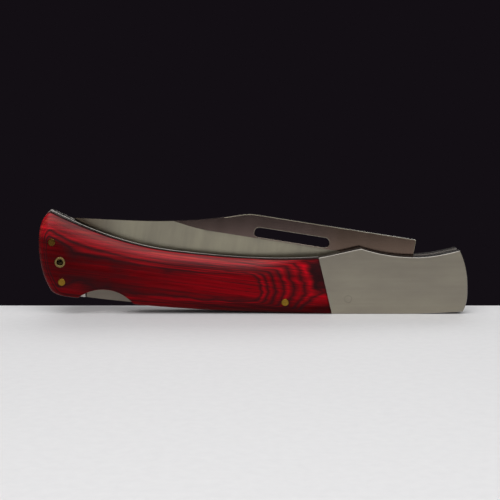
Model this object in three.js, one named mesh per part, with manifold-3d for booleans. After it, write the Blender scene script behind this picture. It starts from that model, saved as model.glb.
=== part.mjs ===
// A large lock-back folding knife, shown closed and standing on its back.
//
// Two liners hold everything. Between them lie a clip-point blade, a rocker bar that locks it, a leaf
// spring that drives the bar and a solid spacer in the butt. Outside them lie the bolsters at the
// nose and the crowned wood scales, held by brass pins and a lanyard tube.
//
// Sizes are in millimetres and angles in degrees. Seen from the front, x runs from the butt to the
// nose, z runs up from the back of the handle, and y runs away from the viewer. An outline is drawn
// as stretches that each start and end in a stated direction, counted from x towards z.
import * as THREE from 'three';
import { mergeVertices } from 'three/addons/utils/BufferGeometryUtils.js';
import Module from 'manifold-3d';

const wasm = await Module();
wasm.setup();

// The stack, from the middle plane outwards
const bladeThickness = 3.0;
const bladeSideGap = 0.2;
const linerThickness = 1.2;
const bolsterThickness = 4.3;
const scaleThickness = 5.4;

// The handle seen from the side
const handleLength = 178;
const hornReach = 5.1;
const hornHeight = 43.2;
const hornAngle = -27;
const hornUndercut = 36;
const waistReach = 58;
const waistHeight = 26;
const waistAngle = -6.3;
const buttFullHeight = 29;
const buttCornerReach = 4.2;
const buttCornerHeight = 10.6;
const buttLean = 28;
const heelReach = 9.2;
const heelHeight = 7.5;
const heelAngle = 172;

// The bolsters, whose places are counted back from the nose
const bolsterLength = 61.9;
const seamLean = 13.5;
const seamHeight = 23.55;
const seamTopAngle = 3.6;
const seamGap = 0.06;
const guardAngle = 10.7;
const peakFromNose = 44.3;
const peakHeight = 27.35;
const peakRiseAngle = 12;
const peakFallAngle = -17.5;
const saddleFromNose = 21.3;
const saddleHeight = 23.75;
const noseCornerFromNose = 3.45;
const noseCornerHeight = 26.55;
const noseCornerAngle = 13.6;
const noseLean = 29;
const noseFullHeight = 9.3;
const toeFromNose = 1.8;
const toeHeight = 0.95;
const toeLean = 30;
const toeSlope = 3.5;
const backFlatStart = 26;
const backFlatLength = 26;
const bolsterEdgeRadius = 0.35;
const edgeRoundSteps = 4;

// The scales: crowned along the middle, rolled over at the free edges, level with the bolsters
const scaleEdgeThickness = 1.3;
const scaleTopRoll = 8.0;
const scaleButtRoll = 5.4;
const scaleBackRoll = 5.9;
const scaleCrownRun = 34;
const linerShow = 0.3;

// Pins, rivets and the lanyard tube
const pinDiameter = 3.0;
const pinGap = 0.06;
const upperPinX = 6.0;
const upperPinZ = 30.1;
const lowerPinX = 9.85;
const lowerPinZ = 13.5;
const tubeX = 9.25;
const tubeZ = 21.8;
const tubeDiameter = 4.4;
const tubeBore = 2.7;
const rivetDiameter = 2.9;
const rivetHeadDiameter = 4.2;
const rivetHeadDepth = 0.8;
const lowerRivetFromNose = 49.6;
const lowerRivetZ = 6.3;
const upperRivetFromNose = 9.5;
const upperRivetZ = 19.5;
const hiddenEndCover = 0.6;

// The blade's pivot and how far the blade swings open
const pivotFromNose = 17;
const pivotHeight = 15;
const pivotDiameter = 6;
const pivotGap = 0.1;
const openAngle = 171;

// The blade, measured from the pivot along and across its straight spine
const spineAboveBack = 0.4;
const tangRadius = 8.2;
const clipStart = 76.8;
const clipTurn = 3.6;
const clipAngle = 18.4;
const clipEnd = 118;
const clipDrop = 9.8;
const clipEndAngle = 8.4;
const pointAngle = 7.4;
const tipBelowHorn = 3.65;
const tipClearance = 0.8;
const tipEdgeAngle = 149;
const bellyReach = 86;
const bellyWidth = 27.5;
const bladeHeelReach = 38;
const bladeHeelWidth = 25.1;
const bladeHeelAngle = 183.5;
const choilRadius = 1.8;
const ricassoEnd = 6.3;

// The blade's slot and its hollow grind
const slotStart = 43.9;
const slotSpan = 27.5;
const slotDrop = 7.2;
const slotWidth = 4.06;
const grindDrop = 10.1;
const grindRunOut = 107.2;
const plungeRun = 3.2;
const edgeHalfThickness = 0.07;
const shoulderHalfThickness = 0.32;
const edgeBevelHeight = 1.0;
const grindHollow = 1.3;
const tipSpineThickness = 1.1;
const grindStopBeforeTip = 1.2;
const grindOverrun = 3;
const plungeLift = 0.36;
const plungeBackset = 1;

// The lock bar: a hook at the front drops into the tang's notch, a pin in the middle carries it
const hookStart = 1.0;
const hookLength = 4.9;
const hookHeight = 1.4;
const hookLift = 1.4;
const hookGap = 0.3;
const barPinFromNose = 75.7;
const barPinZ = 4.95;
const barBossRadius = 3.9;
const barBossRun = 11;
const barBackInset = 0.06;
const barEndGap = 0.3;
const barWaistFromPin = 22;
const barWaistHeight = 7.3;
const barRearHeight = 6.1;
const barRearRound = 3.4;
const barRearAngle = 171;

// The thumb notch in the handle's back
const thumbNotchX = 26.7;
const thumbNotchTop = 10.4;
const thumbNotchRadius = 16.4;

// The butt spacer and the leaf spring held in its slot
const spacerTopReach = 12.85;
const spacerBulge = 17.6;
const spacerBulgeHeight = 24;
const spacerHeelReach = 18.8;
const leafThickness = 1.2;
const leafAnchorStart = 9;
const leafAnchorHeight = 17.5;
const leafSlotGap = 0.3;
const leafReach = 50.5;
const leafTipGap = 0.3;
const leafTipAngle = -8;

// How finely curves are divided
const curveSteps = 12;
const roundSides = 32;
const scaleColumns = 34;
const scaleRows = 14;
const grindStations = 32;
const edgeCrowding = 0.6;
const sweepReach = 0.35;
const grindShares = [-0.04, 0.1, 0.25, 0.4, 0.55, 0.7, 0.85, 0.93, 1, 1.06];
const cutOverrun = 1;

// Values worked out from the sizes above
const innerFace = bladeThickness / 2 + bladeSideGap;
const linerFace = innerFace + linerThickness;
const bolsterFace = linerFace + bolsterThickness;
const scaleCrown = linerFace + scaleThickness;
const seamTopX = handleLength - bolsterLength;
const pivotX = handleLength - pivotFromNose;
const barPinX = handleLength - barPinFromNose;
const hiddenEnd = bolsterFace - hiddenEndCover;
const spineLine = spineAboveBack - pivotHeight;
const hookTop = pivotHeight - tangRadius - hookGap;
const notchFloor = tangRadius - hookLift;
const endFace = hookStart + hookLength + hookGap;
const farAway = 3 * handleLength;

const radians = (angle) => THREE.MathUtils.degToRad(angle);

// A share from 0 to 1 that starts and ends slowly.
const easeBothWays = (share) => 0.5 - 0.5 * Math.cos(Math.PI * share);

// Where the seam between bolster and scale lies at a height.
const seamAt = (z) => seamTopX + (seamHeight - z) * Math.tan(radians(seamLean));

// Draws the next stretch of an outline: a smooth curve to a point that leaves and arrives in the
// stated directions.
function sweepTo(path, x, z, leaving, arriving) {
  const from = path.currentPoint;
  const reach = sweepReach * Math.hypot(x - from.x, z - from.y);
  path.bezierCurveTo(
    from.x + reach * Math.cos(radians(leaving)),
    from.y + reach * Math.sin(radians(leaving)),
    x - reach * Math.cos(radians(arriving)),
    z - reach * Math.sin(radians(arriving)),
    x,
    z
  );
}

// The points of a list that run between two values of x, with its ends cut exactly there.
function stretchBetween(points, low, high) {
  const kept = [];
  points.forEach((point, i) => {
    const next = points[i + 1];
    if (point.x >= low && point.x <= high) kept.push(point.clone());
    if (!next) return;
    const cuts = [low, high].filter((x) => (x - point.x) * (x - next.x) < 0);
    cuts.sort((a, b) => Math.abs(a - point.x) - Math.abs(b - point.x));
    for (const x of cuts) {
      kept.push(point.clone().lerp(next, (x - point.x) / (next.x - point.x)));
    }
  });
  return kept;
}

// The height of a line of points at one value of x.
function heightAt(points, x) {
  const at = points.findIndex((point, i) => i > 0 && (point.x - x) * (points[i - 1].x - x) <= 0);
  const [a, b] = [points[at - 1], points[at]];
  return a.x === b.x ? a.y : THREE.MathUtils.mapLinear(x, a.x, b.x, a.y, b.y);
}

// Drops points that repeat the one before them.
function withoutRepeats(points) {
  return points.filter((point, i) => {
    const before = points[(i + points.length - 1) % points.length];
    return point.distanceTo(before) > 1e-3;
  });
}

// A geometry as a solid that can be joined and cut, with its faces pointing out.
function solidOf(geometry) {
  const bare = geometry.clone();
  bare.deleteAttribute('normal');
  bare.deleteAttribute('uv');
  const merged = mergeVertices(bare, 1e-4);
  const corners = [];
  for (let i = 0; i < merged.index.count; i += 3) {
    const [a, b, c] = merged.index.array.slice(i, i + 3);
    if (a !== b && b !== c && c !== a) corners.push([a, b, c]);
  }
  const build = (triangles) =>
    new wasm.Manifold(
      new wasm.Mesh({
        numProp: 3,
        vertProperties: new Float32Array(merged.attributes.position.array),
        triVerts: new Uint32Array(triangles.flat()),
      })
    );
  const made = build(corners);
  return made.volume() > 0 ? made : build(corners.map(([a, b, c]) => [a, c, b]));
}

// A solid as a geometry to show.
function geometryOf(solid) {
  const mesh = solid.getMesh();
  const geometry = new THREE.BufferGeometry();
  geometry.setAttribute('position', new THREE.BufferAttribute(mesh.vertProperties, 3));
  geometry.setIndex(new THREE.BufferAttribute(mesh.triVerts, 1));
  const flat = geometry.toNonIndexed();
  flat.computeVertexNormals();
  return flat;
}

// The same geometry on the other side of the middle plane.
function mirrored(geometry) {
  return geometry.clone().scale(1, -1, 1);
}

// A flat piece cut from sheet: an outline in x and z between two values of y.
function plate(points, yLow, yHigh, edge = 0) {
  const geometry = new THREE.ExtrudeGeometry(new THREE.Shape(withoutRepeats(points)), {
    depth: yHigh - yLow - 2 * edge,
    bevelEnabled: edge > 0,
    bevelThickness: edge,
    bevelSize: edge,
    bevelOffset: -edge,
    bevelSegments: edgeRoundSteps,
  });
  geometry.translate(0, 0, edge);
  geometry.rotateX(Math.PI / 2);
  geometry.translate(0, yHigh, 0);
  return solidOf(geometry);
}

// A round bar across the handle.
function rod(x, z, diameter, yLow, yHigh, sides = roundSides) {
  const geometry = new THREE.CylinderGeometry(diameter / 2, diameter / 2, yHigh - yLow, sides);
  geometry.translate(x, (yLow + yHigh) / 2, z);
  return solidOf(geometry);
}

// A block that covers one side of a plane y = face.
function slab(yLow, yHigh) {
  const geometry = new THREE.BoxGeometry(farAway, yHigh - yLow, farAway);
  geometry.translate(handleLength / 2, (yLow + yHigh) / 2, 0);
  return solidOf(geometry);
}

// Outline of the handle

// The top edge of the wood, from the horn to the seam.
const topPath = new THREE.Path();
topPath.moveTo(hornReach, hornHeight);
sweepTo(topPath, waistReach, waistHeight, hornAngle, waistAngle);
sweepTo(topPath, seamTopX, seamHeight, waistAngle, seamTopAngle);

// The top edge of the bolster: up to the finger guard, down into the saddle, up to the nose.
const bolsterTopPath = new THREE.Path();
bolsterTopPath.moveTo(seamTopX, seamHeight);
sweepTo(bolsterTopPath, handleLength - peakFromNose, peakHeight, guardAngle, peakRiseAngle);
sweepTo(bolsterTopPath, handleLength - saddleFromNose, saddleHeight, peakFallAngle, 0);
sweepTo(bolsterTopPath, handleLength - noseCornerFromNose, noseCornerHeight, 0, noseCornerAngle);

// The nose and the short run under it, down to where the back lies flat.
const nosePath = new THREE.Path();
nosePath.moveTo(handleLength - noseCornerFromNose, noseCornerHeight);
sweepTo(nosePath, handleLength, noseFullHeight, noseLean - 90, -90);
sweepTo(nosePath, handleLength - toeFromNose, toeHeight, -90, -90 - toeLean);
sweepTo(nosePath, handleLength - backFlatStart, 0, 180 + toeSlope, 180);

// The back: flat under the bolsters, then rising slowly to the heel of the butt.
const flatEndX = handleLength - backFlatStart - backFlatLength;
const backPath = new THREE.Path();
backPath.moveTo(handleLength - backFlatStart, 0);
backPath.lineTo(flatEndX, 0);
sweepTo(backPath, heelReach, heelHeight, 180, heelAngle);

// The butt: around the heel, up the end, over into the horn.
const buttPath = new THREE.Path();
buttPath.moveTo(heelReach, heelHeight);
sweepTo(buttPath, buttCornerReach, buttCornerHeight, heelAngle, 90 + buttLean);
sweepTo(buttPath, 0, buttFullHeight, 90 + buttLean, 90);
sweepTo(buttPath, hornReach, hornHeight, 90, hornUndercut);

const topLine = topPath.getPoints(curveSteps);
const backLine = backPath.getPoints(2 * curveSteps);
const buttLine = buttPath.getPoints(curveSteps);
const noseLine = nosePath.getPoints(curveSteps);
const bolsterTopLine = bolsterTopPath.getPoints(curveSteps);
const handleOutline = [...topLine, ...bolsterTopLine, ...noseLine, ...backLine, ...buttLine];

// Wood scales

// A scale fills the patch between its four edges: s runs from the butt to the seam, t from the back
// to the top. The patch blends the edges across and along, less the blend of its corners.
const scaleBackPath = new THREE.Path(stretchBetween(backLine, heelReach, seamAt(0)).reverse());
const seamFoot = new THREE.Vector2(seamAt(0), 0);
const seamHead = new THREE.Vector2(seamTopX, seamHeight);
const heel = new THREE.Vector2(heelReach, heelHeight);
const horn = new THREE.Vector2(hornReach, hornHeight);

function patchPoint(s, t) {
  const across = scaleBackPath.getPoint(s).lerp(topPath.getPoint(s), t);
  const along = buttPath.getPoint(t).lerp(seamFoot.clone().lerp(seamHead, t), s);
  const low = heel.clone().lerp(seamFoot, s);
  const high = horn.clone().lerp(seamHead, s);
  return across.add(along).sub(low.lerp(high, t));
}

// How far the surface has risen at a distance from a rolled edge: a quarter of an ellipse.
function rollOver(distance, roll) {
  const left = 1 - Math.min(Math.max(distance / roll, 0), 1);
  return Math.sqrt(1 - left * left);
}

// Height of the scale's outer face: crowned, rolled at the free edges, level with the bolster.
function scaleHeight(s, t) {
  const here = patchPoint(s, t);
  const toTop = here.distanceTo(patchPoint(s, 1));
  const toBack = here.distanceTo(patchPoint(s, 0));
  const toButt = here.distanceTo(patchPoint(0, t));
  const toSeam = here.distanceTo(patchPoint(1, t));
  const run = Math.min(toSeam / scaleCrownRun, 1);
  const rise = easeBothWays(run);
  const crown = THREE.MathUtils.lerp(bolsterThickness, scaleThickness, rise);
  const topRoll = THREE.MathUtils.lerp(bolsterEdgeRadius, scaleTopRoll, rise);
  const backRoll = THREE.MathUtils.lerp(bolsterEdgeRadius, scaleBackRoll, rise);
  const edge = THREE.MathUtils.lerp(bolsterThickness - bolsterEdgeRadius, scaleEdgeThickness, rise);
  const rolled = rollOver(toTop, topRoll) * rollOver(toBack, backRoll) * rollOver(toButt, scaleButtRoll);
  return linerFace + edge + (crown - edge) * rolled;
}

// One scale before its holes are cut: a grid over the patch, closed by walls and a flat inner face.
function scaleBlank() {
  const vertices = [];
  const faces = [];
  const outer = [];
  const show = linerShow / seamHeight;
  for (let i = 0; i <= scaleColumns; i += 1) {
    const even = i / scaleColumns;
    const crowded = THREE.MathUtils.lerp(even, easeBothWays(even), edgeCrowding);
    const s = THREE.MathUtils.lerp(linerShow / seamTopX, 1, crowded);
    const column = [];
    for (let j = 0; j <= scaleRows; j += 1) {
      const t = THREE.MathUtils.lerp(show, 1 - show, easeBothWays(j / scaleRows));
      const point = patchPoint(s, t);
      column.push(vertices.length / 3);
      vertices.push(point.x, scaleHeight(s, t), point.y);
    }
    outer.push(column);
  }
  for (let i = 0; i < scaleColumns; i += 1) {
    for (let j = 0; j < scaleRows; j += 1) {
      faces.push(outer[i][j], outer[i][j + 1], outer[i + 1][j + 1]);
      faces.push(outer[i][j], outer[i + 1][j + 1], outer[i + 1][j]);
    }
  }
  const rim = [
    ...outer.map((column) => column[0]),
    ...outer[scaleColumns].slice(1),
    ...outer.map((column) => column[scaleRows]).reverse().slice(1),
    ...outer[0].slice(1, -1).reverse(),
  ];
  const foot = rim.map((vertex) => {
    vertices.push(vertices[3 * vertex], linerFace, vertices[3 * vertex + 2]);
    return vertices.length / 3 - 1;
  });
  rim.forEach((vertex, i) => {
    const next = (i + 1) % rim.length;
    faces.push(vertex, rim[next], foot[next], vertex, foot[next], foot[i]);
  });
  const contour = foot.map((vertex) => new THREE.Vector2(vertices[3 * vertex], vertices[3 * vertex + 2]));
  for (const [a, b, c] of THREE.ShapeUtils.triangulateShape(contour, [])) {
    faces.push(foot[a], foot[b], foot[c]);
  }
  const geometry = new THREE.BufferGeometry();
  geometry.setAttribute('position', new THREE.Float32BufferAttribute(vertices, 3));
  geometry.setIndex(faces);
  return geometry;
}

const rearScaleBlank = solidOf(scaleBlank());
const frontScaleBlank = solidOf(mirrored(scaleBlank()));

// Everything inside the handle's outer surface where the wood is, used to finish pins level with it.
const woodEnvelope = rearScaleBlank.add(frontScaleBlank).add(slab(-linerFace, linerFace));

const pinLength = 2 * (scaleCrown + cutOverrun);
const pinThroughWood = (x, z, diameter) =>
  rod(x, z, diameter, -pinLength / 2, pinLength / 2).intersect(woodEnvelope);
const holeFor = (x, z, diameter) =>
  rod(x, z, diameter + 2 * pinGap, -pinLength, pinLength);

const buttPinHoles = holeFor(upperPinX, upperPinZ, pinDiameter)
  .add(holeFor(lowerPinX, lowerPinZ, pinDiameter))
  .add(holeFor(tubeX, tubeZ, tubeDiameter));
const barPinHole = holeFor(barPinX, barPinZ, pinDiameter);
const thumbNotch = rod(
  thumbNotchX,
  thumbNotchTop - thumbNotchRadius,
  2 * thumbNotchRadius,
  -pinLength,
  pinLength,
  3 * roundSides
);

// Rivets that hold the bolsters on: their heads are spread into countersinks inside the liners. The
// lower one is ground level with the bolster's face, the upper one ends blind under it.
function rivetOn(x, z, side, end, gap = 0) {
  const radius = rivetDiameter / 2 + gap;
  const headRadius = rivetHeadDiameter / 2 + gap;
  const outside = end + gap;
  const inside = gap > 0 ? innerFace - cutOverrun : innerFace;
  const profile = [
    new THREE.Vector2(0, inside),
    new THREE.Vector2(headRadius, inside),
    new THREE.Vector2(headRadius, innerFace + gap),
    new THREE.Vector2(radius, innerFace + rivetHeadDepth),
    new THREE.Vector2(radius, outside),
    new THREE.Vector2(0, outside),
  ];
  const geometry = new THREE.LatheGeometry(withoutRepeats(profile), roundSides / 2);
  geometry.translate(x, 0, z);
  return solidOf(side > 0 ? geometry : mirrored(geometry));
}

const lowerRivetX = handleLength - lowerRivetFromNose;
const upperRivetX = handleLength - upperRivetFromNose;
const pivotRodTo = (end, gap) => rod(pivotX, pivotHeight, pivotDiameter + 2 * gap, -end - gap, end + gap);
const pivotHole = pivotRodTo(hiddenEnd, pinGap);
const rivets = [
  ['lower', lowerRivetX, lowerRivetZ, bolsterFace],
  ['upper', upperRivetX, upperRivetZ, hiddenEnd],
];
const rivetHoles = (side) =>
  rivets
    .map(([, x, z, end]) => rivetOn(x, z, side, end, pinGap))
    .reduce((all, hole) => all.add(hole));

// Liners
function liner(side) {
  const [low, high] = side > 0 ? [innerFace, linerFace] : [-linerFace, -innerFace];
  return plate(handleOutline, low, high)
    .subtract(buttPinHoles)
    .subtract(barPinHole)
    .subtract(pivotHole)
    .subtract(thumbNotch)
    .subtract(rivetHoles(side));
}

// Bolsters: a thick plate with softened edges, cut off along the seam and flat against the liner.
function bolster(side) {
  const tailX = seamTopX - bolsterThickness;
  const outline = [
    new THREE.Vector2(tailX, seamHeight),
    ...bolsterTopLine,
    ...noseLine,
    ...stretchBetween(backLine, tailX, handleLength),
  ];
  const body = plate(outline, linerFace - 3 * bolsterEdgeRadius, bolsterFace, bolsterEdgeRadius);
  const beyondSeam = new THREE.BoxGeometry(farAway, farAway, farAway);
  beyondSeam.translate(-farAway / 2, 0, 0);
  beyondSeam.rotateY(radians(-seamLean));
  beyondSeam.translate(seamAt(0) + seamGap, 0, 0);
  const whole = body
    .subtract(solidOf(beyondSeam))
    .subtract(slab(-farAway, linerFace))
    .subtract(pivotHole)
    .subtract(rivetHoles(1));
  const geometry = geometryOf(whole);
  return side > 0 ? geometry : turnedOut(mirrored(geometry));
}

// Turns the faces of a mirrored geometry to point out again.
function turnedOut(geometry) {
  return geometryOf(solidOf(geometry));
}

// Scales
const scaleCuts = buttPinHoles.add(barPinHole).add(thumbNotch);

// Lock bar, seen from the side: flush with the back, a boss around its pin, a hook at the front
const barRearX = spacerHeelReach + barEndGap;
const barFrontX = pivotX + hookStart + hookLength;
const fullBackLine = [...noseLine.slice(2 * curveSteps), ...backLine, ...buttLine];
const barBack = stretchBetween(fullBackLine, barRearX, barFrontX).reverse();
barBack.forEach((point) => point.add(new THREE.Vector2(0, barBackInset)));
const barInnerPath = new THREE.Path();
barInnerPath.moveTo(pivotX + hookStart, hookTop - hookHeight);
barInnerPath.lineTo(barPinX + barBossRun, hookTop - hookHeight);
sweepTo(barInnerPath, barPinX, barPinZ + barBossRadius, 180, 180);
sweepTo(barInnerPath, barPinX - barWaistFromPin, barWaistHeight, 180, 180);
const barRearTop = heightAt(barBack, barRearX + barRearRound) + barRearHeight;
sweepTo(barInnerPath, barRearX + barRearRound, barRearTop, 180, barRearAngle);
sweepTo(barInnerPath, barRearX, barRearTop - barRearRound, barRearAngle, -90);
const barInner = barInnerPath.getPoints(curveSteps);
const barOutline = [
  ...barBack,
  new THREE.Vector2(barFrontX, hookTop),
  new THREE.Vector2(pivotX + hookStart, hookTop),
  ...barInner,
];

// Blade, drawn open about its pivot: the spine lies low and straight, the edge lies above it
function opened(x, z) {
  const point = new THREE.Vector2(x - pivotX, z - pivotHeight);
  return point.rotateAround(new THREE.Vector2(), -radians(openAngle));
}

const tip = opened(spacerTopReach + tipClearance, hornHeight - tipBelowHorn);
const spinePath = new THREE.Path();
spinePath.moveTo(endFace, spineLine);
spinePath.lineTo(clipStart - clipTurn, spineLine);
const turnDrop = clipTurn * Math.tan(radians(clipAngle));
sweepTo(spinePath, clipStart + clipTurn, spineLine + turnDrop, 0, clipAngle);
sweepTo(spinePath, clipEnd, spineLine + clipDrop, clipAngle, clipEndAngle);
sweepTo(spinePath, tip.x, tip.y, pointAngle, pointAngle - 1);
const spinePoints = spinePath.getPoints(curveSteps);

const edgePath = new THREE.Path();
edgePath.moveTo(tip.x, tip.y);
sweepTo(edgePath, bellyReach, spineLine + bellyWidth, tipEdgeAngle, 180);
sweepTo(edgePath, bladeHeelReach, spineLine + bladeHeelWidth, 180, bladeHeelAngle);
const edgePoints = edgePath.getPoints(2 * curveSteps);

const tangPath = new THREE.Path();
const choilX = bladeHeelReach - choilRadius;
const choilZ = spineLine + bladeHeelWidth;
tangPath.absarc(choilX, choilZ, choilRadius, 0, -Math.PI, true);
const flatFar = opened(pivotX - ricassoEnd, pivotHeight - notchFloor);
const flatHalf = Math.sqrt(tangRadius ** 2 - notchFloor ** 2);
const flatNear = opened(pivotX + flatHalf, pivotHeight - notchFloor);
const notchWall = hookStart - hookGap;
tangPath.lineTo(flatFar.x, flatFar.y);
tangPath.lineTo(flatNear.x, flatNear.y);
tangPath.absarc(
  0,
  0,
  tangRadius,
  Math.atan2(flatNear.y, flatNear.x),
  2 * Math.PI - Math.acos(notchWall / tangRadius),
  false
);
tangPath.lineTo(notchWall, -notchFloor);
tangPath.lineTo(endFace, -notchFloor);
const bladeOutline = [...spinePoints, ...edgePoints, ...tangPath.getPoints(2 * curveSteps)];

// Half of the blade's thickness inside the grind, as a function of the place along the blade and
// the share of the way from the grind line to the edge.
function grindHalfThickness(share, depth) {
  const flat = bladeThickness / 2;
  const bevelShare = edgeBevelHeight / depth;
  if (share < 1 - bevelShare) {
    const left = (1 - bevelShare - share) / (1 - bevelShare);
    return shoulderHalfThickness + (flat - shoulderHalfThickness) * left ** grindHollow;
  }
  const left = Math.max((1 - share) / bevelShare, 0);
  return edgeHalfThickness + (shoulderHalfThickness - edgeHalfThickness) * left;
}

// The waste that the grinding wheel takes off one side: a sheet along the blade whose inner face is
// the hollow of the grind.
function grindWaste() {
  const start = bladeHeelReach - plungeBackset;
  const first = start + plungeRun;
  const last = tip.x - grindStopBeforeTip;
  const cuts = [
    { x: start, at: first, lift: bladeThickness },
    { x: start + plungeRun / 2, at: first, lift: plungeLift },
  ];
  for (let i = 0; i <= grindStations; i += 1) {
    const at = THREE.MathUtils.lerp(first, last, i / grindStations);
    cuts.push({ x: at, at, lift: 0 });
  }
  cuts.push({ x: tip.x + grindOverrun, at: last, lift: 0 });
  const vertices = [];
  const flat = bladeThickness / 2;
  const runOut = heightAt(spinePoints, grindRunOut);
  const sections = cuts.map(({ x, at, lift }) => {
    const edge = heightAt(edgePoints, Math.max(at, bladeHeelReach + 0.01));
    const spine = heightAt(spinePoints, at);
    const overClip = THREE.MathUtils.clamp((at - grindRunOut) / (tip.x - grindRunOut), 0, 1);
    const downClip = THREE.MathUtils.clamp((at - clipStart) / (grindRunOut - clipStart), 0, 1);
    const line = THREE.MathUtils.lerp(spineLine + grindDrop, runOut, downClip ** 3);
    const spineHalf = THREE.MathUtils.lerp(bladeThickness, tipSpineThickness, overClip) / 2;
    const kept = (spineHalf - shoulderHalfThickness) / (flat - shoulderHalfThickness);
    const depth = overClip > 0 ? (edge - spine) / kept ** (1 / grindHollow) : edge - line;
    const inner = grindShares.map((share) => {
      vertices.push(x, grindHalfThickness(share, depth) + lift, edge - depth * (1 - share));
      return vertices.length / 3 - 1;
    });
    const outer = [...grindShares].reverse().map((share) => {
      vertices.push(x, 2 * bladeThickness, edge - depth * (1 - share));
      return vertices.length / 3 - 1;
    });
    return [...inner, ...outer];
  });
  const faces = [];
  const ring = sections[0].length;
  for (let i = 1; i < sections.length; i += 1) {
    for (let j = 0; j < ring; j += 1) {
      const k = (j + 1) % ring;
      faces.push(sections[i - 1][j], sections[i - 1][k], sections[i][k]);
      faces.push(sections[i - 1][j], sections[i][k], sections[i][j]);
    }
  }
  for (const [section, turn] of [[sections[0], 1], [sections[sections.length - 1], -1]]) {
    for (let j = 0; j < ring / 2 - 1; j += 1) {
      const quad = [section[j], section[j + 1], section[ring - 2 - j], section[ring - 1 - j]];
      const [a, b, c, d] = turn > 0 ? quad : quad.reverse();
      faces.push(a, c, b, a, d, c);
    }
  }
  const geometry = new THREE.BufferGeometry();
  geometry.setAttribute('position', new THREE.Float32BufferAttribute(vertices, 3));
  geometry.setIndex(faces);
  return geometry;
}

function bladeGeometry() {
  const half = bladeThickness / 2;
  const slotLine = spineLine + slotDrop;
  const slotEnd = slotStart + slotSpan;
  const slotPath = new THREE.Path();
  slotPath.absarc(slotStart, slotLine, slotWidth / 2, Math.PI / 2, 1.5 * Math.PI, false);
  slotPath.absarc(slotEnd, slotLine, slotWidth / 2, -Math.PI / 2, Math.PI / 2, false);
  const waste = grindWaste();
  const blade = plate(bladeOutline, -half, half)
    .subtract(plate(slotPath.getPoints(curveSteps), -bladeThickness, bladeThickness))
    .subtract(rod(0, 0, pivotDiameter + 2 * pivotGap, -bladeThickness, bladeThickness))
    .subtract(solidOf(waste))
    .subtract(solidOf(mirrored(waste)));
  return geometryOf(blade);
}

// Butt spacer: fills the butt between the liners and holds the spring in a slot
const spacerTop = heightAt(topLine, spacerTopReach);
const spacerHeel = heightAt(fullBackLine, spacerHeelReach);
const spacerInner = new THREE.Path();
spacerInner.moveTo(spacerTopReach, spacerTop);
sweepTo(spacerInner, spacerBulge, spacerBulgeHeight, -88, -80);
spacerInner.lineTo(spacerHeelReach, spacerHeel);
const leafSlotWidth = leafThickness + 2 * leafSlotGap;
const slotHalf = leafSlotWidth / 2;
const leafSlot = [
  new THREE.Vector2(leafAnchorStart - leafSlotGap, leafAnchorHeight - slotHalf),
  new THREE.Vector2(spacerHeelReach + cutOverrun, leafAnchorHeight - slotHalf),
  new THREE.Vector2(spacerHeelReach + cutOverrun, leafAnchorHeight + slotHalf),
  new THREE.Vector2(leafAnchorStart - leafSlotGap, leafAnchorHeight + slotHalf),
];
const spacerOutline = [
  ...stretchBetween(backLine, heelReach, spacerHeelReach),
  ...buttLine,
  ...stretchBetween(topLine, hornReach, spacerTopReach),
  ...spacerInner.getPoints(curveSteps),
];

// Leaf spring: straight in the slot, then curving down until its tip lies on the lock bar
const leafTipHeight = heightAt(barInner, leafReach) + leafTipGap + leafThickness / 2;
const leafPath = new THREE.Path();
leafPath.moveTo(leafAnchorStart, leafAnchorHeight);
leafPath.lineTo(spacerBulge, leafAnchorHeight);
sweepTo(leafPath, leafReach, leafTipHeight, 0, leafTipAngle);
const leafLine = leafPath.getPoints(curveSteps);
const leafSide = (offset) =>
  leafLine.map((point, i) => {
    const before = leafLine[Math.max(i - 1, 0)];
    const after = leafLine[Math.min(i + 1, leafLine.length - 1)];
    const across = after.clone().sub(before).normalize().rotateAround(new THREE.Vector2(), Math.PI / 2);
    return point.clone().addScaledVector(across, offset);
  });
const leafOutline = [...leafSide(-leafThickness / 2), ...leafSide(leafThickness / 2).reverse()];

// Materials
const steel = (colour, roughness) =>
  new THREE.MeshStandardMaterial({ color: colour, roughness, metalness: 1 });
const brass = (roughness) =>
  new THREE.MeshStandardMaterial({ color: 0xb08d45, roughness, metalness: 1 });
const wood = () => new THREE.MeshStandardMaterial({ color: 0x6b0c14, roughness: 0.3, metalness: 0 });

// The knife
const knife = new THREE.Group();

function add(parent, name, geometry, material) {
  const mesh = new THREE.Mesh(geometry, material);
  mesh.name = name;
  parent.add(mesh);
}

const sides = [['front', -1], ['rear', 1]];
for (const [name, side] of sides) {
  add(knife, `liner_${name}`, geometryOf(liner(side)), steel(0xa8a49c, 0.4));
  add(knife, `bolster_${name}`, bolster(side), steel(0x9a948c, 0.35));
  const blank = side > 0 ? rearScaleBlank : frontScaleBlank;
  add(knife, `scale_${name}`, geometryOf(blank.subtract(scaleCuts)), wood());
  for (const [place, x, z, end] of rivets) {
    const rivet = geometryOf(rivetOn(x, z, side, end));
    add(knife, `bolster_rivet_${name}_${place}`, rivet, steel(0x9a948c, 0.35));
  }
}

const spacer = plate(spacerOutline, -innerFace, innerFace)
  .subtract(plate(leafSlot, -farAway, farAway))
  .subtract(buttPinHoles);
add(knife, 'butt_spacer', geometryOf(spacer), steel(0xa09c94, 0.4));

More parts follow.
